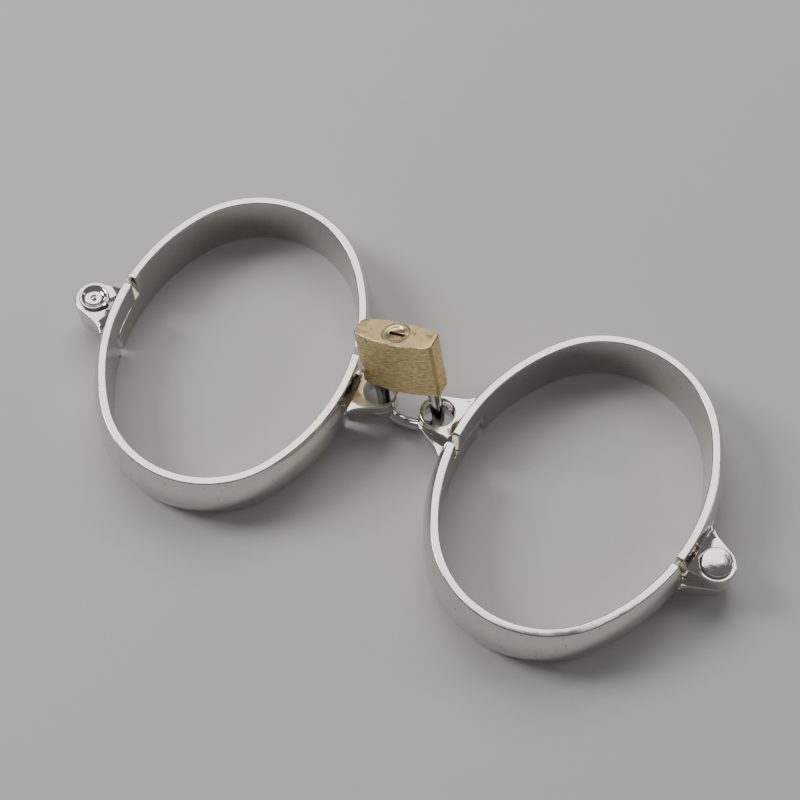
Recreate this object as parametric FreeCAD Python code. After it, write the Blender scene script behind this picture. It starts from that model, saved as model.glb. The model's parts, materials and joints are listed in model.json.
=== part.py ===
import FreeCAD, Part
import math
import os

# A pair of rigid oval wrist cuffs, closed, lying flat and joined by one small brass padlock.
# Millimetres. +Z is up and the cuffs lie on z = 0. +X runs from the left hinge to the right hinge,
# and the origin is midway between the two hinges, under the line that joins the cuffs' centres.

V = FreeCAD.Vector
Z_AXIS = V(0, 0, 1)

# --- cuff bands -----------------------------------------------------------------------------------
BAND_HEIGHT = 15.5          # height of the band, rim to rim
RIM_HALF_SHORT = 30.5       # rim's outer edge, half of the short way, hinge to lock
RIM_HALF_LONG = 40.2        # rim's outer edge, half of the long way
END_RADIUS = 26.0           # rim's outer radius at the two ends of the long way
RIM_WIDTH = 1.9             # flat width of the rim
WALL_BULGE = 1.8            # how far the outer wall swells out at mid height
RIM_FILLET = 0.3            # rounding of the rim's edges
LEVEL_GAP = 0.1             # gap between the upper and the lower tongues and ears
TONGUE_REACH = 5.0          # how far a tongue passes the cuff's short axis
TONGUE_ROOM = 6.8           # where the other half's full-height band begins
TONGUE_FILLET = 0.35        # rounding of the tongue's end
LEVEL_FILLET = 0.25         # rounding of the edges where the two halves face each other

# --- ears -----------------------------------------------------------------------------------------
HINGE_X = 36.6              # hinge rivet, from the cuff's centre
LOCK_X = 37.0               # lock hole, from the cuff's centre
NOSE_RADIUS = 4.65          # rounded nose of an ear
HINGE_EAR_THICK = 4.25      # thickness of one hinge ear
LOCK_EAR_THICK = 3.0        # thickness of one lock ear
LOCK_HOLE_R = 3.95          # hole that the shackle goes through
EAR_SLOPE = 23.5            # degrees between the ear's long flank and the cuff's short axis
EAR_FLARE_X = 34.2          # where the long flank begins to flare into the band
EAR_TIP = (31.3, 9.0)       # end of the flare, from the cuff's centre
EAR_NOSE_BACK = 0.6         # the nose's arc ends this far back from the hole, on the short flank
EAR_SHORT_ROOT = 31.1       # where the short flank meets the band
EAR_ROOT = 29.5             # the ear's root, inside the band's wall
EAR_ROOT_TAPER = 0.7        # how much nearer the root is at the flare, where the wall curves in
EAR_EDGE = 0.3              # rounding of the ear's edges
EAR_EDGE_FROM = 33.0        # edges that end nearer the cuff's centre than this stay sharp

# --- hinge rivets ---------------------------------------------------------------------------------
RIVET_R = 2.0
RIVET_CLEARANCE = 0.04      # running fit in the half that turns on it
RIVET_HEAD_R = 3.7
RIVET_HEAD_H = 1.5
RIVET_DOME_RISE = 0.25      # how far the crown stands above the head's shoulder
RIVET_SHOULDER = 0.5        # rounding of the shoulder
RIVET_END_PLAY = 0.04       # between the rivet and the ears that it holds, at each end
RIVET_SET_R = 3.6           # flared end that is set over the ear
RIVET_SET_H = 0.9
RIVET_SET_CHAMFER = (0.25, 0.3)   # bevel of the set end's rim, across and up
RIVET_CUP_R = 3.05
RIVET_CUP_FLOOR_R = 2.2
RIVET_CUP_DEPTH = 0.65
RIVET_NUB_R = 0.45          # small centre mark left by the setting tool
RIVET_NUB_H = 0.2

# --- where the cuffs lie --------------------------------------------------------------------------
CUFF_TURN = 6.0             # each cuff's short axis leans this many degrees off the line of hinges
LOCK_HOLE_SPACING = 15.2    # between the two cuffs' lock holes
RIGHT_SLACK = 0.6           # degrees that the right cuff stands open in its slack

# --- padlock body ---------------------------------------------------------------------------------
BODY_WIDTH = 20.0
BODY_HEIGHT = 15.6
BODY_MID_THICK = 7.8
BODY_END_THICK = 5.0
BODY_CORNER = 0.55          # bevel of the four upright edges
BODY_RIM = 0.3              # bevel of the keyway face and the shackle face

# --- shackle --------------------------------------------------------------------------------------
SHACKLE_R = 1.55
LEG_SPACING = 14.0
BOW_CORNER = 5.0            # bend radius of the bow's corners, on the wire's centre line
LEG_OUTSIDE = 9.1           # straight leg between the body and the bow
LEG_END_CHAMFER = 0.25
TOE_INSIDE = 5.9
HEEL_INSIDE = 12.2
LEG_CLEARANCE = 0.08
TOE_BORE_END = 6.4
HEEL_BORE_END = 14.4
RELEASE_TRAVEL = 6.0        # how far the body rises off the shackle when it is unlocked

# --- cylinder plug and its pins -------------------------------------------------------------------
PLUG_R = 3.25
PLUG_CLEARANCE = 0.05
PLUG_MOUTH_CHAMFER = 0.2    # bevel of the plug's edge, and of the bore round it
PLUG_INNER = 6.9            # depth of the plug's inner face from the shackle face
STEM_R = 1.6
STEM_INNER = 3.7
DRIVE_PIN_R = 0.5           # eccentric pin that draws the latch bolt
DRIVE_PIN_ORBIT = 1.3
DRIVE_PIN_INNER = 1.9
DRIVE_ROOM = 0.25           # room round the drive pin's path
DRIVE_ROOM_BELOW = 0.3
FACE_DISH_R = 2.35
FACE_DISH_DEPTH = 0.3
FACE_DISH_SLOPE = 0.35      # how much narrower the dish is at its floor
KEYWAY_WIDTH = 0.9
KEYWAY_SPAN = (-1.7, 2.5)
KEYWAY_INNER = 7.3
GROOVE_DEPTH = 0.55
GROOVE_SPAN = (13.5, 14.5)
CHAMBER_DEPTHS = (8.1, 10.1, 12.1)
CHAMBER_R = 0.78
PIN_R = 0.72
KEY_PIN_LENGTHS = (1.45, 2.05, 1.7)
KEY_PIN_CHAMFER = 0.25
DRIVER_LENGTH = 1.9
CAP_LENGTH = 0.9
PIN_SPRING_WIRE_R = 0.15
PIN_SPRING_TURNS = 5
PIN_GAP = 0.03
KEY_PIN_GAP = 0.07           # keeps the corners of a key pin's flat top in the plug's bore as it turns

# --- latch and retaining pins ---------------------------------------------------------------------
LATCH_DEPTH = 2.5           # latch bolt's axis, from the shackle face
LATCH_R = 0.9
LATCH_CLEARANCE = 0.06
LATCH_TIP = -5.95           # bolt's tip inside the toe leg's notch
LATCH_TIP_CHAMFER = 0.2
LATCH_TAIL = 1.4
LATCH_BORE_END = 4.9
LATCH_POCKET_HALF = 0.75    # half length of the pocket that the drive pin works in
LATCH_POCKET_FLOOR = 0.3
LATCH_SPRING_WIRE_R = 0.14
LATCH_SPRING_R = 0.7
LATCH_SPRING_TURNS = 4
NOTCH_SPAN = (1.35, 5.25)
NOTCH_DEPTH = 0.75
HEEL_PIN_R = 0.6
HEEL_PIN_DEPTH = 4.4
HEEL_PIN_CLEARANCE = 0.05
HEEL_FLAT_DEPTH = 0.65
HEEL_FLAT_SPARE = 0.7       # how far the flat passes the pin's axis at each end of the travel
PLUG_PIN_R = 0.45
SHACKLE_SPRING_WIRE_R = 0.22
SHACKLE_SPRING_R = 1.2
SHACKLE_SPRING_TURNS = 3

# --- where the padlock sits -----------------------------------------------------------------------
LOCK_LEAN = 12.5            # degrees that the padlock leans back, away from -Y
LOCK_ROLL = 15.5            # degrees that it rolls, its right side up
LOCK_POS = V(-1.78, 6.24, 15.68)   # centre of the face that the shackle enters

EPS = 0.01
OVERCUT = 1.0               # how far a cutting solid passes the face that it opens


def cylinder(radius, length, base, direction=Z_AXIS):
    return Part.makeCylinder(radius, length, base, direction)


def block(low, high):
    size = high - low
    return Part.makeBox(size.x, size.y, size.z, low)


def solid_of(shape):
    shape = shape.removeSplitter()
    solids = shape.Solids
    assert len(solids) == 1, len(solids)
    return solids[0]


def turned(shape, centre, axis, degrees):
    moved = shape.copy()
    moved.rotate(centre, axis, degrees)
    return moved


def moved_by(shape, offset):
    moved = shape.copy()
    moved.translate(offset)
    return moved


# --------------------------------------------------------------------------------------------------
# Cuff halves. In a cuff's own frame the hinge is on -X and the lock ears are on +X.
# --------------------------------------------------------------------------------------------------

def side_radius():
    """Outer rim radius of the two long sides, tangent to the end arcs."""
    rise = RIM_HALF_LONG - END_RADIUS
    top = RIM_HALF_SHORT ** 2 + rise ** 2 - END_RADIUS ** 2
    return top / (2.0 * (RIM_HALF_SHORT - END_RADIUS))


def band_section(rim_radius):
    """Cross-section of the band at y = 0 for an arc whose outer rim has this radius."""
    inner = rim_radius - RIM_WIDTH
    bulge_point = V(rim_radius + WALL_BULGE, 0, BAND_HEIGHT / 2)
    top = V(rim_radius, 0, BAND_HEIGHT)
    bottom = V(rim_radius, 0, 0)
    edges = [
        Part.makeLine(V(inner, 0, 0), bottom),
        Part.Arc(bottom, bulge_point, top).toShape(),
        Part.makeLine(top, V(inner, 0, BAND_HEIGHT)),
        Part.makeLine(V(inner, 0, BAND_HEIGHT), V(inner, 0, 0)),
    ]
    return Part.Face(Part.Wire(edges))


def band_arc(centre, rim_radius, start, sweep):
    """One arc of the band: the section turned about a vertical axis through centre."""
    face = band_section(rim_radius)
    face.rotate(V(0, 0, 0), Z_AXIS, start)
    face.translate(centre)
    return face.revolve(centre, Z_AXIS, sweep)


def oval_band():
    """The whole oval band: two side arcs and two end arcs that meet tangentially."""
    side_r = side_radius()
    side_shift = side_r - RIM_HALF_SHORT
    end_shift = RIM_HALF_LONG - END_RADIUS
    half_side = math.degrees(math.atan2(end_shift, side_shift))
    arcs = []
    for facing in (0.0, 180.0):
        sign = 1 if facing == 0.0 else -1
        side_centre = V(-sign * side_shift, 0, 0)
        end_centre = V(0, sign * end_shift, 0)
        arcs.append(band_arc(side_centre, side_r, facing - half_side, 2 * half_side))
        arcs.append(band_arc(end_centre, END_RADIUS, facing + half_side, 180 - 2 * half_side))
    band = solid_of(arcs[0].multiFuse(arcs[1:]))
    rims = [e for e in band.Edges if on_rim(e)]
    return band.makeFillet(RIM_FILLET, rims)


def on_rim(edge):
    """True for an edge that runs round the top or bottom rim."""
    middle = edge.valueAt((edge.FirstParameter + edge.LastParameter) / 2)
    level = [v.Z for v in edge.Vertexes] + [middle.z]
    return max(level) - min(level) < EPS and (max(level) < EPS or min(level) > BAND_HEIGHT - EPS)


def ear_outline(nose_x):
    """Closed outline of an ear on +X, its long flank towards -Y. Its root lies inside the band."""
    slope = math.radians(EAR_SLOPE)
    back = V(-math.cos(slope), -math.sin(slope), 0)
    outward = V(math.sin(slope), -math.cos(slope), 0)
    nose_start = V(nose_x, 0, 0) + outward * NOSE_RADIUS
    flare_start = nose_start + back * ((nose_start.x - EAR_FLARE_X) / math.cos(slope))
    tip = V(EAR_TIP[0], -EAR_TIP[1], 0)
    nose_end = V(nose_x - EAR_NOSE_BACK, math.sqrt(NOSE_RADIUS ** 2 - EAR_NOSE_BACK ** 2), 0)
    far_root = V(EAR_SHORT_ROOT, TONGUE_REACH, 0)
    inner_low = V(EAR_ROOT - EAR_ROOT_TAPER, -EAR_TIP[1], 0)
    inner_high = V(EAR_ROOT, TONGUE_REACH, 0)
    edges = [
        Part.Arc(nose_start, V(nose_x + NOSE_RADIUS, 0, 0), nose_end).toShape(),
        Part.makeLine(nose_end, far_root),
        Part.makeLine(far_root, inner_high),
        Part.makeLine(inner_high, inner_low),
        Part.makeLine(inner_low, tip),
        Part.Arc(tip, flare_point(flare_start, back, tip), flare_start).toShape(),
        Part.makeLine(flare_start, nose_start),
    ]
    return Part.Wire(edges)


def flare_point(start, heading, end):
    """A point halfway along the arc that leaves start along heading and reaches end."""
    chord = end - start
    side = V(-heading.y, heading.x, 0)
    radius = chord.dot(chord) / (2 * chord.dot(side))
    centre = start + side * radius
    middle = (start + end) * 0.5 - centre
    middle.normalize()
    return centre + middle * abs(radius)


def ear(nose_x, low, high):
    """One ear between two levels, with its free edges rounded."""
    prism = Part.Face(ear_outline(nose_x)).extrude(V(0, 0, high - low))
    prism.translate(V(0, 0, low))
    free = []
    for edge in prism.Edges:
        box = edge.BoundBox
        flat = box.ZMax - box.ZMin < EPS
        if flat and box.XMax > EAR_EDGE_FROM:
            free.append(edge)
    return prism.makeFillet(EAR_EDGE, free)


def mirrored_x(shape):
    return shape.mirror(V(0, 0, 0), V(1, 0, 0))


def half_band():
    """The half with the upper ears, on the -Y side of the cuff."""
    middle = BAND_HEIGHT / 2
    level = middle + LEVEL_GAP / 2
    reach = RIM_HALF_LONG + WALL_BULGE + OVERCUT
    upper = block(V(-reach, -reach, level), V(reach, TONGUE_REACH, BAND_HEIGHT + OVERCUT))
    lower = block(V(-reach, -reach, -OVERCUT), V(reach, -TONGUE_ROOM, level))
    keep = upper.fuse(lower)
    band = solid_of(oval_band().common(keep))
    band = round_tongue_ends(band)
    hinge_ear = mirrored_x(ear(HINGE_X, level, middle + HINGE_EAR_THICK))
    lock_ear = ear(LOCK_X, level, middle + LOCK_EAR_THICK)
    half = solid_of(band.multiFuse([hinge_ear, lock_ear]))
    half = half.cut(cylinder(LOCK_HOLE_R, BAND_HEIGHT, V(LOCK_X, 0, 0)))
    return half


def round_tongue_ends(band):
    """Rounds the long edges of each tongue's underside, then the upright edges of its end."""
    level = (BAND_HEIGHT + LEVEL_GAP) / 2
    under = []
    for edge in band.Edges:
        box = edge.BoundBox
        flat = abs(box.ZMin - level) < EPS and abs(box.ZMax - level) < EPS
        if flat and box.YLength > RIM_WIDTH:
            under.append(edge)
    band = band.makeFillet(LEVEL_FILLET, under)
    ends = []
    for edge in band.Edges:
        box = edge.BoundBox
        at_end = box.YMin > TONGUE_REACH - EPS and box.YMax < TONGUE_REACH + EPS
        if at_end and box.ZLength > RIM_WIDTH:
            ends.append(edge)
    return band.makeFillet(TONGUE_FILLET, ends)


def flipped(shape):
    """Turned over about the cuff's short axis: the other half is the same casting, turned over."""
    return turned(shape, V(0, 0, BAND_HEIGHT / 2), V(1, 0, 0), 180)


def hinge_bore(radius):
    return cylinder(radius, BAND_HEIGHT + 2 * OVERCUT, V(-HINGE_X, 0, -OVERCUT))


def hinge_rivet():
    """Rivet with a domed head at the top and a flared, cupped end at the bottom."""
    top = BAND_HEIGHT / 2 + HINGE_EAR_THICK + RIVET_END_PLAY
    bottom = BAND_HEIGHT / 2 - HINGE_EAR_THICK - RIVET_END_PLAY
    foot = bottom - RIVET_SET_H
    cup_floor = foot + RIVET_CUP_DEPTH
    crown_z = top + RIVET_HEAD_H
    shoulder_z = crown_z - RIVET_DOME_RISE
    shoulder_x = RIVET_HEAD_R - RIVET_SHOULDER
    outline = [
        V(0, 0, cup_floor - RIVET_NUB_H),
        V(RIVET_NUB_R / 2, 0, cup_floor - RIVET_NUB_H),
        V(RIVET_NUB_R, 0, cup_floor),
        V(RIVET_CUP_FLOOR_R, 0, cup_floor),
        V(RIVET_CUP_R, 0, foot),
        V(RIVET_SET_R - RIVET_SET_CHAMFER[0], 0, foot),
        V(RIVET_SET_R, 0, foot + RIVET_SET_CHAMFER[1]),
        V(RIVET_SET_R, 0, bottom),
        V(RIVET_R, 0, bottom),
        V(RIVET_R, 0, top),
        V(RIVET_HEAD_R, 0, top),
        V(RIVET_HEAD_R, 0, shoulder_z - RIVET_SHOULDER),
    ]
    edges = [Part.makeLine(a, b) for a, b in zip(outline, outline[1:])]
    lean = RIVET_SHOULDER * (1 - math.sqrt(0.5))
    bend = V(RIVET_HEAD_R - lean, 0, shoulder_z - lean)
    shoulder = V(shoulder_x, 0, shoulder_z)
    dome_r = (shoulder_x ** 2 + RIVET_DOME_RISE ** 2) / (2 * RIVET_DOME_RISE)
    dome_z = crown_z - dome_r + math.sqrt(dome_r ** 2 - (shoulder_x / 2) ** 2)
    crown = V(0, 0, crown_z)
    edges.append(Part.Arc(outline[-1], bend, shoulder).toShape())
    edges.append(Part.Arc(shoulder, V(shoulder_x / 2, 0, dome_z), crown).toShape())
    edges.append(Part.makeLine(crown, outline[0]))
    profile = Part.Face(Part.Wire(edges))
    rivet = profile.revolve(V(0, 0, 0), Z_AXIS, 360)
    rivet.translate(V(-HINGE_X, 0, 0))
    return rivet


def cuff_place(side):
    """Placement of a cuff's own frame in the part: side is -1 for the left cuff, +1 for the right."""
    turn = math.radians(CUFF_TURN)
    centre_x = LOCK_HOLE_SPACING / 2 + LOCK_X * math.cos(turn)
    angle = CUFF_TURN if side < 0 else 180 - CUFF_TURN
    return V(side * centre_x, 0, 0), angle


def place_cuff(shape, side):
    centre, angle = cuff_place(side)
    return moved_by(turned(shape, V(0, 0, 0), Z_AXIS, angle), centre)


def make_cuffs():
    """Both cuffs. The rivet is tight in the half with the lower ears and the other turns on it."""
    upper = half_band()
    lower = flipped(upper)
    upper = upper.cut(hinge_bore(RIVET_R + RIVET_CLEARANCE))
    lower = lower.cut(hinge_bore(RIVET_R))
    rivet = hinge_rivet()
    slack = turned(upper, V(-HINGE_X, 0, 0), Z_AXIS, -RIGHT_SLACK)
    return {
        "left_near_half": place_cuff(upper, -1),
        "left_far_half": place_cuff(lower, -1),
        "left_hinge_rivet": place_cuff(flipped(rivet), -1),
        "right_far_half": place_cuff(slack, 1),
        "right_near_half": place_cuff(lower, 1),
        "right_hinge_rivet": place_cuff(rivet, 1),
    }


# --------------------------------------------------------------------------------------------------
# Padlock. In its own frame +X is its width, the toe leg on -X and the heel leg on +X, +Y is its
# thickness, and +Z runs from the shackle face at z = 0 to the keyway face.
# --------------------------------------------------------------------------------------------------

LEG_X = LEG_SPACING / 2


def body_block():
    """Brass body: a lens-shaped section with flat ends, its upright edges bevelled."""
    half_w = BODY_WIDTH / 2
    half_e = BODY_END_THICK / 2
    half_m = BODY_MID_THICK / 2
    edges = [
        Part.Arc(V(-half_w, -half_e, 0), V(0, -half_m, 0), V(half_w, -half_e, 0)).toShape(),
        Part.makeLine(V(half_w, -half_e, 0), V(half_w, half_e, 0)),
        Part.Arc(V(half_w, half_e, 0), V(0, half_m, 0), V(-half_w, half_e, 0)).toShape(),
        Part.makeLine(V(-half_w, half_e, 0), V(-half_w, -half_e, 0)),
    ]
    prism = Part.Face(Part.Wire(edges)).extrude(V(0, 0, BODY_HEIGHT))
    upright = [e for e in prism.Edges if e.BoundBox.ZLength > BODY_HEIGHT / 2]
    prism = prism.makeChamfer(BODY_CORNER, upright)
    ends = [e for e in prism.Edges if e.BoundBox.ZLength < EPS]
    return prism.makeChamfer(BODY_RIM, ends)


def lock_body():
    """Body with its leg bores, plug bore, latch bore, pin chambers and retaining-pin holes."""
    bore_r = SHACKLE_R + LEG_CLEARANCE
    plug_bore = PLUG_R + PLUG_CLEARANCE
    latch_bore = LATCH_R + LATCH_CLEARANCE
    half_w = BODY_WIDTH / 2
    across = V(1, 0, 0)
    through = V(0, 1, 0)
    pin_length = BODY_MID_THICK + 2 * OVERCUT
    lead = through * OVERCUT
    drive_room = DRIVE_PIN_ORBIT + DRIVE_PIN_R + DRIVE_ROOM
    drive_floor = V(0, 0, DRIVE_PIN_INNER - DRIVE_ROOM_BELOW)
    plug_floor = V(0, 0, PLUG_INNER - PLUG_CLEARANCE)
    cuts = [
        cylinder(bore_r, TOE_BORE_END + OVERCUT, V(-LEG_X, 0, -OVERCUT)),
        cylinder(bore_r, HEEL_BORE_END + OVERCUT, V(LEG_X, 0, -OVERCUT)),
        cylinder(plug_bore, BODY_HEIGHT - PLUG_INNER + OVERCUT, plug_floor),
        cylinder(drive_room, PLUG_INNER, drive_floor),
        cylinder(latch_bore, half_w + LATCH_BORE_END, V(-half_w, 0, LATCH_DEPTH), across),
        cylinder(HEEL_PIN_R, pin_length, heel_pin_base() - lead, through),
        cylinder(PLUG_PIN_R, pin_length, plug_pin_base() - lead, through),
        face_bevel(plug_bore),
    ]
    for depth in CHAMBER_DEPTHS:
        cuts.append(cylinder(CHAMBER_R, half_w, V(-half_w, 0, depth), across))
    return body_block().cut(cuts)


def face_bevel(radius):
    """Cone that bevels a round edge in the keyway face, from this radius outwards."""
    floor = V(0, 0, BODY_HEIGHT - PLUG_MOUTH_CHAMFER)
    height = PLUG_MOUTH_CHAMFER + EPS
    return Part.makeCone(radius, radius + height, height, floor, Z_AXIS)


def heel_pin_base():
    flat_x = LEG_X + SHACKLE_R - HEEL_FLAT_DEPTH
    return V(flat_x + HEEL_PIN_CLEARANCE + HEEL_PIN_R, -BODY_MID_THICK / 2, HEEL_PIN_DEPTH)


def plug_pin_base():
    middle = sum(GROOVE_SPAN) / 2
    return V(PLUG_R, -BODY_MID_THICK / 2, middle)


def retaining_pin(base, radius):
    """Straight pin across the body's thickness, dressed flush with the curved faces."""
    pin = cylinder(radius, BODY_MID_THICK, base, V(0, 1, 0))
    return solid_of(pin.common(body_block()))


def shackle():
    """U of round wire: legs up into the body, the toe notched and the heel with a long flat."""
    wire = Part.Wire(shackle_path())
    start = V(-LEG_X, 0, TOE_INSIDE)
    profile = Part.Wire([Part.makeCircle(SHACKLE_R, start, Z_AXIS)])
    rod = wire.makePipeShell([profile], True, True)
    rod = rod if rod.ShapeType == "Solid" else Part.Solid(rod)
    rod = rod.makeChamfer(LEG_END_CHAMFER, [e for e in rod.Edges if at_leg_end(e)])
    size = 2 * SHACKLE_R
    notch_x = -LEG_X + SHACKLE_R - NOTCH_DEPTH
    notch = block(V(notch_x, -size, NOTCH_SPAN[0]), V(notch_x + size, size, NOTCH_SPAN[1]))
    flat_x = LEG_X + SHACKLE_R - HEEL_FLAT_DEPTH
    flat_low = HEEL_PIN_DEPTH - HEEL_FLAT_SPARE
    flat_high = HEEL_PIN_DEPTH + RELEASE_TRAVEL + HEEL_FLAT_SPARE
    flat = block(V(flat_x, -size, flat_low), V(flat_x + size, size, flat_high))
    return solid_of(rod.cut([notch, flat]))


def shackle_path():
    """Centre line of the shackle, from the toe's end to the heel's end."""
    corner = BOW_CORNER
    low = -LEG_OUTSIDE
    lean = corner * math.sqrt(0.5)
    left, right = -LEG_X, LEG_X
    left_mid = V(left + corner - lean, 0, low - lean)
    right_mid = V(right - corner + lean, 0, low - lean)
    left_turn = V(left + corner, 0, low - corner)
    right_turn = V(right - corner, 0, low - corner)
    return [
        Part.makeLine(V(left, 0, TOE_INSIDE), V(left, 0, low)),
        Part.Arc(V(left, 0, low), left_mid, left_turn).toShape(),
        Part.makeLine(left_turn, right_turn),
        Part.Arc(right_turn, right_mid, V(right, 0, low)).toShape(),
        Part.makeLine(V(right, 0, low), V(right, 0, HEEL_INSIDE)),
    ]


def at_leg_end(edge):
    box = edge.BoundBox
    flat = box.ZLength < EPS
    return flat and (abs(box.ZMin - TOE_INSIDE) < EPS or abs(box.ZMin - HEEL_INSIDE) < EPS)


def cylinder_plug():
    """Plug with a dished face, keyway, pin chambers, retaining groove, stem and drive pin."""
    core = cylinder(PLUG_R, BODY_HEIGHT - PLUG_INNER, V(0, 0, PLUG_INNER))
    face_edge = [e for e in core.Edges if e.BoundBox.ZMin > BODY_HEIGHT - EPS]
    core = core.makeChamfer(PLUG_MOUTH_CHAMFER, face_edge)
    stem = cylinder(STEM_R, PLUG_INNER - STEM_INNER + OVERCUT, V(0, 0, STEM_INNER))
    drive = cylinder(DRIVE_PIN_R, STEM_INNER - DRIVE_PIN_INNER + OVERCUT, drive_pin_place())
    plug = core.multiFuse([stem, drive])
    dish_floor = V(0, 0, BODY_HEIGHT - FACE_DISH_DEPTH)
    dish = Part.makeCone(
        FACE_DISH_R - FACE_DISH_SLOPE, FACE_DISH_R, FACE_DISH_DEPTH + EPS, dish_floor, Z_AXIS)
    half_key = KEYWAY_WIDTH / 2
    keyway = block(
        V(KEYWAY_SPAN[0], -half_key, KEYWAY_INNER),
        V(KEYWAY_SPAN[1], half_key, BODY_HEIGHT + OVERCUT))
    width = GROOVE_SPAN[1] - GROOVE_SPAN[0]
    groove = cylinder(PLUG_R + OVERCUT, width, V(0, 0, GROOVE_SPAN[0]))
    groove = groove.cut(cylinder(PLUG_R - GROOVE_DEPTH, 3 * width, V(0, 0, GROOVE_SPAN[0] - width)))
    cuts = [dish, keyway, groove]
    for depth in CHAMBER_DEPTHS:
        mouth = V(-PLUG_R - OVERCUT, 0, depth)
        cuts.append(cylinder(CHAMBER_R, PLUG_R + OVERCUT, mouth, V(1, 0, 0)))
    return solid_of(plug.cut(cuts))


def drive_pin_place():
    half = DRIVE_PIN_ORBIT * math.sqrt(0.5)
    return V(-half, half, DRIVE_PIN_INNER)


def latch_bolt():
    """Round bolt with a bevelled tip and a pocket in its side for the drive pin."""
    bolt = cylinder(LATCH_R, LATCH_TAIL - LATCH_TIP, V(LATCH_TIP, 0, LATCH_DEPTH), V(1, 0, 0))
    tips = [e for e in bolt.Edges if e.BoundBox.XMax < LATCH_TIP + EPS]
    bolt = bolt.makeChamfer(LATCH_TIP_CHAMFER, tips)
    pin_x = drive_pin_place().x
    pocket = block(
        V(pin_x - LATCH_POCKET_HALF, LATCH_POCKET_FLOOR, LATCH_DEPTH - LATCH_R - OVERCUT),
        V(pin_x + LATCH_POCKET_HALF, LATCH_R + OVERCUT, LATCH_DEPTH + LATCH_R + OVERCUT))
    return solid_of(bolt.cut(pocket))


def coil_spring(mean_r, wire_r, turns, start, length, along):
    """Coil spring from start along a direction, its turns evenly spaced between flat ends."""
    rise = length - 2 * wire_r
    helix = Part.makeHelix(rise / turns, rise, mean_r)
    profile = Part.Wire([Part.makeCircle(wire_r, V(mean_r, 0, 0), V(0, 1, 0))])
    coil = Part.Wire(helix).makePipeShell([profile], True, True)
    coil.translate(V(0, 0, wire_r))
    turn = FreeCAD.Rotation(Z_AXIS, along)
    coil.Placement = FreeCAD.Placement(start, turn).multiply(coil.Placement)
    return coil


def make_springs_and_pins():
    """Everything that stands in the three pin chambers, from the plug out to the end face."""
    parts = {}
    outwards = V(-1, 0, 0)
    half_w = BODY_WIDTH / 2
    for number, depth in enumerate(CHAMBER_DEPTHS, start=1):
        length = KEY_PIN_LENGTHS[number - 1]
        shear = V(-PLUG_R, 0, depth)
        key_pin = cylinder(PIN_R, length, shear + V(KEY_PIN_GAP + length, 0, 0), outwards)
        tips = [e for e in key_pin.Edges if e.BoundBox.XMin > -PLUG_R + length]
        parts["key_pin_%d" % number] = key_pin.makeChamfer(KEY_PIN_CHAMFER, tips)
        driver_start = shear - V(PLUG_CLEARANCE + PIN_GAP, 0, 0)
        parts["driver_pin_%d" % number] = cylinder(PIN_R, DRIVER_LENGTH, driver_start, outwards)
        spring_start = driver_start - V(DRIVER_LENGTH, 0, 0)
        spring_room = half_w - CAP_LENGTH + spring_start.x
        spring_r = PIN_R - PIN_SPRING_WIRE_R
        parts["pin_spring_%d" % number] = coil_spring(
            spring_r, PIN_SPRING_WIRE_R, PIN_SPRING_TURNS, spring_start, spring_room, outwards)
        cap = cylinder(CHAMBER_R, CAP_LENGTH, V(-half_w, 0, depth), V(1, 0, 0))
        parts["pin_chamber_cap_%d" % number] = cap
    return parts


def make_padlock():
    latch_bore = LATCH_R + LATCH_CLEARANCE
    half_w = BODY_WIDTH / 2
    across = V(1, 0, 0)
    leg_side = LEG_X + SHACKLE_R + LEG_CLEARANCE
    cap_length = half_w - leg_side
    parts = {
        "lock_body": lock_body(),
        "shackle": shackle(),
        "cylinder_plug": cylinder_plug(),
        "latch_bolt": latch_bolt(),
        "latch_spring": coil_spring(
            LATCH_SPRING_R, LATCH_SPRING_WIRE_R, LATCH_SPRING_TURNS,
            V(LATCH_TAIL, 0, LATCH_DEPTH), LATCH_BORE_END - LATCH_TAIL, across),
        "latch_bore_cap": cylinder(latch_bore, cap_length, V(-half_w, 0, LATCH_DEPTH), across),
        "shackle_spring": coil_spring(
            SHACKLE_SPRING_R, SHACKLE_SPRING_WIRE_R, SHACKLE_SPRING_TURNS,
            V(LEG_X, 0, HEEL_INSIDE), HEEL_BORE_END - HEEL_INSIDE, Z_AXIS),
        "heel_pin": retaining_pin(heel_pin_base(), HEEL_PIN_R),
        "plug_pin": retaining_pin(plug_pin_base(), PLUG_PIN_R),
    }
    parts.update(make_springs_and_pins())
    return {name: place_padlock(shape) for name, shape in parts.items()}


def place_padlock(shape):
    """From the padlock's own frame to its place, leaning back and rolled, over the two holes."""
    placed = turned(shape, V(0, 0, 0), V(0, 1, 0), -LOCK_ROLL)
    placed = turned(placed, V(0, 0, 0), V(1, 0, 0), -LOCK_LEAN)
    return moved_by(placed, LOCK_POS)


# --------------------------------------------------------------------------------------------------

os.makedirs("parts", exist_ok=True)
nodes = make_cuffs()
nodes.update(make_padlock())
for name, shape in nodes.items():
    assert shape.isValid(), name
    shape.exportStep("parts/%s.step" % name)
    print("%-20s %10.2f mm3" % (name, shape.Volume))
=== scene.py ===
import json
import math

import bmesh
import bpy
from mathutils import Matrix, Vector

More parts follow.
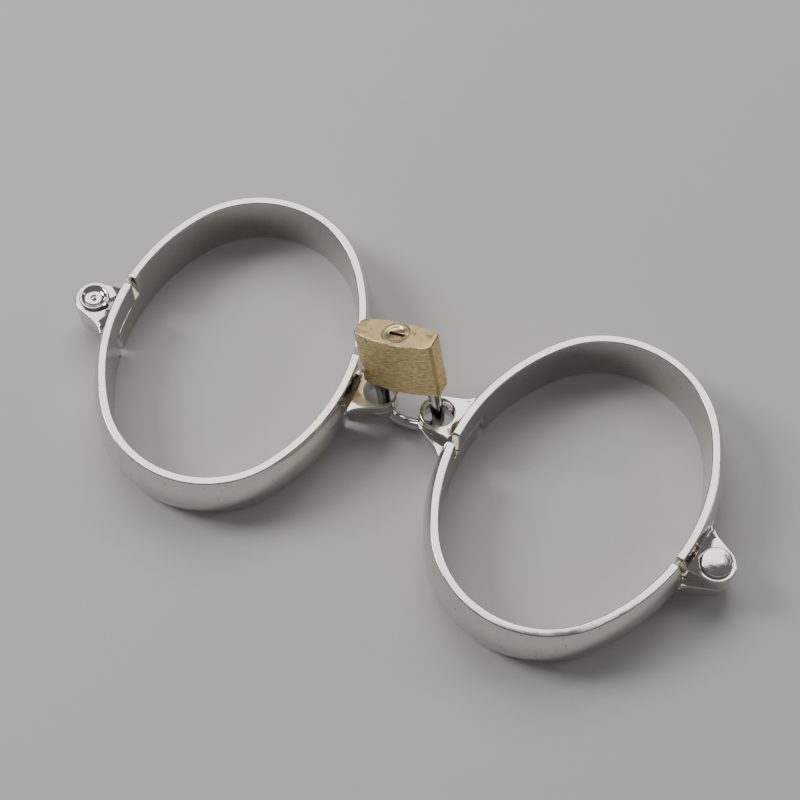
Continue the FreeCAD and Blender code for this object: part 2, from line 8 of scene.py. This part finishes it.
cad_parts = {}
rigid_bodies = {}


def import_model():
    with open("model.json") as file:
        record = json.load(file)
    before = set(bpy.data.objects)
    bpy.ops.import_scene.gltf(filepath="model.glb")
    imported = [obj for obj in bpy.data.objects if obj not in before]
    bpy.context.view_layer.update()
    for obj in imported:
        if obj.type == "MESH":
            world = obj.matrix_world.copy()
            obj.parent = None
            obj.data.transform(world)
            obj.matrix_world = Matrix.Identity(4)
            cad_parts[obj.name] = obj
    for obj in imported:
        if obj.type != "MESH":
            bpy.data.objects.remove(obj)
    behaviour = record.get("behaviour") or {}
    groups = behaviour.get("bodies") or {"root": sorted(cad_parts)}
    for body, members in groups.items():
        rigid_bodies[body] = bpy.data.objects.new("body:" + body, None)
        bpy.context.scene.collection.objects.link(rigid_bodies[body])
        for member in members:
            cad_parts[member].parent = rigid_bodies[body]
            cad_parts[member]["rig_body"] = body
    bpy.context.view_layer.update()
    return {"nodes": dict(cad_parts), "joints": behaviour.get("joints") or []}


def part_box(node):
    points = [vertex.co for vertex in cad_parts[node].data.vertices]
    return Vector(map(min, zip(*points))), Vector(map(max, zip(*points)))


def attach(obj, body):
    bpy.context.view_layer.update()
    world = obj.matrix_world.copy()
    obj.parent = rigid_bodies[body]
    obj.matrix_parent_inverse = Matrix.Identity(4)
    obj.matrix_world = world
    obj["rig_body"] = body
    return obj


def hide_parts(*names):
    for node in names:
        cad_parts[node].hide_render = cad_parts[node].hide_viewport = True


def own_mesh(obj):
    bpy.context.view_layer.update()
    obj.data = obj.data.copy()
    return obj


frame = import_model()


# --- Cuff halves ----------------------------------------------------------------------------------
# Each cuff is two castings of one pattern, the second turned over. They are zinc alloy, polished and
# plated with bright nickel. The plate keeps a faint waviness from the casting, a haze of wiping
# marks and a few pits, and lines run round the band where the polishing wheel ran.


class Value:
    """A shader socket that takes part in arithmetic. Each operation adds one Math node."""

    def __init__(self, look, socket):
        self.look = look
        self.socket = socket

    def math(self, operation, *terms):
        return self.look.add("ShaderNodeMath", {"operation": operation}, dict(enumerate(terms)))

    def __add__(self, other):
        return self.math("ADD", self, other)

    __radd__ = __add__

    def __sub__(self, other):
        return self.math("SUBTRACT", self, other)

    def __rsub__(self, other):
        return self.math("SUBTRACT", other, self)

    def __mul__(self, other):
        return self.math("MULTIPLY", self, other)

    __rmul__ = __mul__

    def __gt__(self, other):
        return self.math("GREATER_THAN", self, other)

    def __abs__(self):
        return self.math("ABSOLUTE", self)


class Look:
    """One material: a principled shader and the nodes that feed it, in Object coordinates."""

    def __init__(self, name, metallic=1.0):
        self.material = bpy.data.materials.new(name)
        self.material.use_nodes = True
        self.tree = self.material.node_tree
        self.shader = self.tree.nodes["Principled BSDF"]
        self.shader.inputs["Metallic"].default_value = metallic
        self.place = self.add("ShaderNodeTexCoord", output="Object")

    def add(self, kind, settings=None, inputs=None, output=0):
        """Adds a node: its settings first, then the values or links of its sockets."""
        node = self.tree.nodes.new(kind)
        for key, value in (settings or {}).items():
            setattr(node, key, value)
        for key, value in (inputs or {}).items():
            if isinstance(value, Value):
                self.tree.links.new(value.socket, node.inputs[key])
            else:
                node.inputs[key].default_value = value
        return Value(self, node.outputs[output])

    def feed(self, socket, value):
        if isinstance(value, Value):
            self.tree.links.new(value.socket, self.shader.inputs[socket])
        else:
            self.shader.inputs[socket].default_value = value

    def noise(self, size, detail=3.0, longer=(1, 1, 1), place=None):
        """Blotches of this size in metres, so many times longer along each axis."""
        scale = [1 / times for times in longer]
        inputs = {"Vector": place or self.place, "Scale": scale}
        where = self.add("ShaderNodeMapping", {}, inputs)
        return self.add("ShaderNodeTexNoise", {}, {"Vector": where, "Scale": 1 / size, "Detail": detail})

    def band(self, value, low, high):
        """0 below low, 1 above high, and even between them."""
        limits = {"Value": value, "From Min": low, "From Max": high}
        return self.add("ShaderNodeMapRange", {}, limits)

    def tint(self, mask, first, second, blend="MIX"):
        """The first colour where mask is 0, and the second mixed in or multiplied where it is 1."""
        ends = {"Factor": mask, 6: first, 7: second}
        for key in (6, 7):
            if not isinstance(ends[key], Value):
                ends[key] = (*ends[key], 1)
        return self.add("ShaderNodeMix", {"data_type": "RGBA", "blend_type": blend}, ends, output=2)

    def relief(self, height, depth):
        self.feed("Normal", self.add("ShaderNodeBump", {}, {"Height": height, "Distance": depth}))


def bright_nickel():
    look = Look("bright nickel")
    waves = look.noise(0.014, detail=1.0)
    haze = look.noise(0.004, detail=7.0)
    wheel_lines = look.noise(0.00022, detail=2.0, longer=(26, 26, 1))
    pits = look.noise(0.0005, detail=0.0) > 0.80
    plate = look.tint(haze, (0.64, 0.61, 0.56), (0.72, 0.69, 0.64))
    look.feed("Base Color", look.tint(pits, plate, (0.30, 0.28, 0.25)))
    look.feed("Roughness", look.band(haze, 0.3, 0.8) * 0.10 + wheel_lines * 0.07 + pits * 0.3 + 0.03)
    look.relief(waves + wheel_lines * 0.012 - pits * 0.08, depth=0.00008)
    return look.material


WELD = 1e-6
SHARP_EDGE = math.radians(24)


def smooth_copy(node, name, material):
    """A welded copy of a CAD node, smooth over its bends and crisp at its edges, in its place."""
    source = frame["nodes"][node]
    shape = bmesh.new()
    shape.from_mesh(source.data)
    bmesh.ops.remove_doubles(shape, verts=shape.verts, dist=WELD)
    mesh = bpy.data.meshes.new(name)
    shape.to_mesh(mesh)
    shape.free()
    mesh.shade_smooth()
    mesh.set_sharp_from_angle(angle=SHARP_EDGE)
    mesh.materials.clear()
    mesh.materials.append(material)
    piece = bpy.data.objects.new(name, mesh)
    bpy.context.scene.collection.objects.link(piece)
    shading = piece.modifiers.new("even shading", "WEIGHTED_NORMAL")
    shading.keep_sharp = True
    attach(piece, source["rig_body"])
    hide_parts(node)
    return piece


nickel = bright_nickel()
for cuff_half in ("left_near_half", "left_far_half", "right_near_half", "right_far_half"):
    smooth_copy(cuff_half, cuff_half + "_plated", nickel)


# --- Hinge rivets ---------------------------------------------------------------------------------
# A solid steel rivet with a button head holds each hinge. Its other end is set with a cupping tool,
# which leaves a raised lip, a dish and a small nub. The two cuffs show opposite ends. The rivet is
# plated with the cuff, and both ends keep rings from the tool.

RING_PITCH = 0.00016


def distance_out(look, place):
    """Distance from the upright axis of place."""
    flat = look.add("ShaderNodeMapping", {}, {"Vector": place, "Scale": (1, 1, 0)})
    return look.add("ShaderNodeVectorMath", {"operation": "LENGTH"}, {0: flat}, output=1)


def ringed(look, radius, pitch):
    """Fine uneven rings, pitch apart, where radius is the distance from their axis."""
    inputs = {"W": radius, "Scale": 1 / pitch, "Detail": 2.0}
    return look.add("ShaderNodeTexNoise", {"noise_dimensions": "1D"}, inputs)


def rivet_nickel(rivet):
    look = Look(rivet.replace("_", " ") + " nickel")
    low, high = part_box(rivet)
    centre = (low + high) / 2
    place = look.add("ShaderNodeMapping", {"vector_type": "TEXTURE"},
                     {"Vector": look.place, "Location": centre})
    rings = ringed(look, distance_out(look, place), RING_PITCH)
    smears = look.noise(0.0012, detail=5.0)
    look.feed("Base Color", look.tint(smears, (0.66, 0.63, 0.58), (0.76, 0.73, 0.68)))
    look.feed("Roughness", look.band(smears, 0.35, 0.75) * 0.12 + rings * 0.05 + 0.03)
    look.relief(smears * 0.5 + rings * 0.05, depth=0.00006)
    return look.material


for rivet in ("left_hinge_rivet", "right_hinge_rivet"):
    smooth_copy(rivet, rivet + "_plated", rivet_nickel(rivet))


# --- Shackle --------------------------------------------------------------------------------------
# The padlock's shackle is hardened steel wire, bent square at the bow and plated with chrome. It
# passes down through one cuff's ears and up through the other's. Use leaves fine scratches along
# and across the wire.

def chrome():
    look = Look("chrome")
    haze = look.noise(0.003, detail=6.0)
    scratches = look.noise(0.00014, detail=3.0, longer=(3, 1, 9))
    rubbed = look.band(scratches, 0.60, 0.68)
    look.feed("Base Color", look.tint(haze, (0.58, 0.58, 0.59), (0.66, 0.66, 0.67)))
    look.feed("Roughness", look.band(haze, 0.3, 0.8) * 0.08 + rubbed * 0.12 + 0.03)
    look.relief(haze * 0.4 - rubbed * 0.05, depth=0.00005)
    return look.material


smooth_copy("shackle", "shackle_wire", chrome())


# --- Padlock body ---------------------------------------------------------------------------------
# The body is sawn from drawn brass bar, so its broad faces are slightly crowned. A belt gives the
# four sides short strokes across the body, with bright streaks and glints painted into their colour
# as highlights, and the keyway face has a finer grain along its width.
# The bevelled corners stay smoother, and their darker colour is painted shade. Caps and cross pins
# are dressed flush with it all.

joints = {joint["name"]: joint for joint in frame["joints"]}
lock_up = Vector(joints["shackle_release"]["axis"])
lock_across = Vector(joints["latch_draw"]["axis"])
lock_forward = lock_up.cross(lock_across)
lock_turn = Matrix((lock_across, lock_forward, lock_up)).transposed().to_euler()
lock_place = Vector(joints["key_turn"]["pos_m"])
BODY_HEIGHT = 0.0156
BODY_HALF_WIDTH = 0.010
BEVEL_WIDTH = 0.00055
FACE_SKIN = 0.00002


def lock_frame(look):
    """Object coordinates turned to the padlock: across it, through it, and up to its keyway face."""
    inputs = {"Vector": look.place, "Location": lock_place, "Rotation": lock_turn}
    return look.add("ShaderNodeMapping", {"vector_type": "TEXTURE"}, inputs)


def brushed_brass():
    look = Look("brushed brass")
    place = lock_frame(look)
    axes = {name: look.add("ShaderNodeSeparateXYZ", {}, {"Vector": place}, output=name) for name in "XZ"}
    on_face = axes["Z"] > BODY_HEIGHT - FACE_SKIN
    from_middle = abs(axes["X"])
    on_end = from_middle > BODY_HALF_WIDTH - FACE_SKIN
    on_corner = (from_middle > BODY_HALF_WIDTH - BEVEL_WIDTH) * (1 - on_end) * (1 - on_face)
    belt = look.noise(0.00017, detail=4.0, longer=(7, 7, 1), place=place)
    scores = look.noise(0.00012, detail=2.0, longer=(22, 22, 1), place=place)
    grain = look.noise(0.00010, detail=2.0, longer=(16, 1, 1), place=place)
    patches = look.noise(0.0045, detail=4.0, place=place)
    # The strokes and scores below set real roughness and relief, and they also brighten the colour as
    # painted highlights.
    belt_strokes_and_glints = look.band(belt, 0.38, 0.58)
    scores_and_glints = look.band(scores, 0.57, 0.64)
    # Painted highlight: the side colour runs from dark brass to bright streaks, and the scores add pale
    # gold painted glints.
    side = look.tint(belt_strokes_and_glints, (0.54, 0.37, 0.14), (1.0, 0.80, 0.42))
    side_with_painted_glints = look.tint(scores_and_glints, side, (1.0, 0.91, 0.58))
    face = look.tint(grain, (0.94, 0.68, 0.33), (1.0, 0.78, 0.41))
    faces = look.tint(on_face, side_with_painted_glints, face)
    # Painted shade: the bevelled corners get a darker brass colour than the faces.
    with_painted_corner_shade = look.tint(on_corner, faces, (0.50, 0.36, 0.16))
    tarnish = look.band(patches, 0.45, 0.9) * 0.4
    look.feed("Base Color", look.tint(tarnish, with_painted_corner_shade, (0.74, 0.66, 0.54), blend="MULTIPLY"))
    look.feed("Roughness", 0.36 + belt_strokes_and_glints * 0.12 - scores_and_glints * 0.14 + on_face * 0.06 - on_corner * 0.12)
    brushed = (1 - on_face) * (1 - on_corner) * (belt_strokes_and_glints - scores_and_glints * 0.5)
    look.relief(brushed + on_face * grain * 0.14, depth=0.00003)
    return look.material


brass = brushed_brass()
smooth_copy("lock_body", "padlock_body", brass)


def finish_node(node, material):
    """Gives a CAD node that is shown as it is its finish."""
    slots = frame["nodes"][node].data.materials
    slots.clear()
    slots.append(material)


for fitting in ("latch_bore_cap", "heel_pin", "plug_pin"):
    finish_node(fitting, brass)
for chamber in (1, 2, 3):
    finish_node(f"pin_chamber_cap_{chamber}", brass)


# --- Cylinder plug --------------------------------------------------------------------------------
# The plug is turned from brass rod, and the key turns it in the body. Its face has a bevelled edge,
# a flat land and a shallow dish round the keyway, all with rings from the lathe tool. The land is
# paler than the body.

LATHE_PITCH = 0.00009
DISH_RADIUS = 0.00235


def turned_brass():
    look = Look("turned brass")
    place = lock_frame(look)
    radius = distance_out(look, place)
    rings = ringed(look, radius, LATHE_PITCH)
    on_land = radius > DISH_RADIUS
    patches = look.noise(0.0010, detail=4.0, place=place)
    dish = look.tint(patches, (0.84, 0.62, 0.28), (0.94, 0.76, 0.42))
    land = look.tint(patches, (0.66, 0.56, 0.38), (0.76, 0.67, 0.48))
    look.feed("Base Color", look.tint(on_land, dish, land))
    look.feed("Roughness", 0.16 + rings * 0.10 + on_land * 0.14)
    look.relief(rings, depth=0.000012)
    return look.material


plug_brass = turned_brass()
smooth_copy("cylinder_plug", "padlock_plug", plug_brass)


# --- Pins, springs and latch ----------------------------------------------------------------------
# Key pins are brass, driver pins and the latch bolt are turned steel, and the five springs are
# slightly blued wire, all oiled and hidden in the body. The latch spring is a copy with its own mesh,
# and it keeps its length when the plug draws the bolt towards the blind end of the bore.


def oiled_steel(name, dark, light, roughness):
    look = Look(name)
    film = look.noise(0.0008, detail=5.0)
    lines = look.noise(0.00008, detail=1.0, longer=(8, 8, 1), place=lock_frame(look))
    look.feed("Base Color", look.tint(film, dark, light))
    look.feed("Roughness", film * 0.15 + roughness)
    look.relief(lines, depth=0.000006)
    return look.material


pin_steel = oiled_steel("turned steel", (0.46, 0.45, 0.44), (0.58, 0.57, 0.56), 0.22)
spring_wire = oiled_steel("spring wire", (0.30, 0.31, 0.34), (0.46, 0.46, 0.48), 0.26)
finish_node("latch_bolt", pin_steel)
finish_node("shackle_spring", spring_wire)

latch_coil = smooth_copy("latch_spring", "latch_coil", spring_wire)
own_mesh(latch_coil)

for chamber in (1, 2, 3):
    finish_node(f"key_pin_{chamber}", plug_brass)
    finish_node(f"driver_pin_{chamber}", pin_steel)
    finish_node(f"pin_spring_{chamber}", spring_wire)


# --- Setting --------------------------------------------------------------------------------------
# The cuffs lie on a plain pale sheet of matt board. An overhead diffuser whitens what faces up, a
# key light from the left shapes the walls, and the room beyond the lights is dark.

FLOOR_HALF = 4.0
VIEW_CENTRE = Vector((-0.00454, 0.00875, 0))


def matt_board():
    look = Look("pale matt board", metallic=0.0)
    fibre = look.noise(0.0009, detail=6.0)
    look.feed("Base Color", look.tint(fibre, (0.62, 0.615, 0.605), (0.66, 0.655, 0.645)))
    look.feed("Roughness", 0.8)
    look.relief(fibre, depth=0.00003)
    return look.material


sheet = bmesh.new()
bmesh.ops.create_grid(sheet, x_segments=1, y_segments=1, size=FLOOR_HALF)
floor_mesh = bpy.data.meshes.new("floor")
sheet.to_mesh(floor_mesh)
sheet.free()
floor_mesh.materials.append(matt_board())
floor = bpy.data.objects.new("floor", floor_mesh)
bpy.context.scene.collection.objects.link(floor)


def aimed(data, place, target):
    """Puts a light or camera at place, looking at target."""
    item = bpy.data.objects.new(data.name, data)
    item.location = place
    item.rotation_euler = (target - place).to_track_quat("-Z", "Y").to_euler()
    bpy.context.scene.collection.objects.link(item)
    return item


def soft_light(name, place, width, height, glow):
    """A rectangular diffuser aimed at the cuffs. glow is its brightness, whatever its size."""
    data = bpy.data.lights.new(name, "AREA")
    data.shape = "RECTANGLE"
    data.size = width
    data.size_y = height
    data.energy = glow * math.pi * width * height
    aimed(data, Vector(place), VIEW_CENTRE)


soft_light("overhead diffuser", (-0.36, 0.62, 1.05), width=1.1, height=0.8, glow=2.5)
soft_light("key light", (-0.85, -0.15, 0.75), width=0.35, height=0.45, glow=12.0)
soft_light("rim light", (0.75, 0.55, 0.40), width=0.20, height=0.50, glow=3.0)

ROOM_GREY = (0.16, 0.16, 0.165, 1)
world = bpy.data.worlds.new("studio")
world.use_nodes = True
world.node_tree.nodes["Background"].inputs["Color"].default_value = ROOM_GREY
bpy.context.scene.world = world

VIEW_AZIMUTH = math.radians(25.6)
VIEW_ELEVATION = math.radians(62)
VIEW_DISTANCE = 0.4693

lens = bpy.data.cameras.new("camera")
lens.lens = 86.9
lens.sensor_width = 36.0
lens.clip_start = 0.01
away = Vector((
    math.sin(VIEW_AZIMUTH) * math.cos(VIEW_ELEVATION),
    -math.cos(VIEW_AZIMUTH) * math.cos(VIEW_ELEVATION),
    math.sin(VIEW_ELEVATION),
))
bpy.context.scene.camera = aimed(lens, VIEW_CENTRE + away * VIEW_DISTANCE, VIEW_CENTRE)
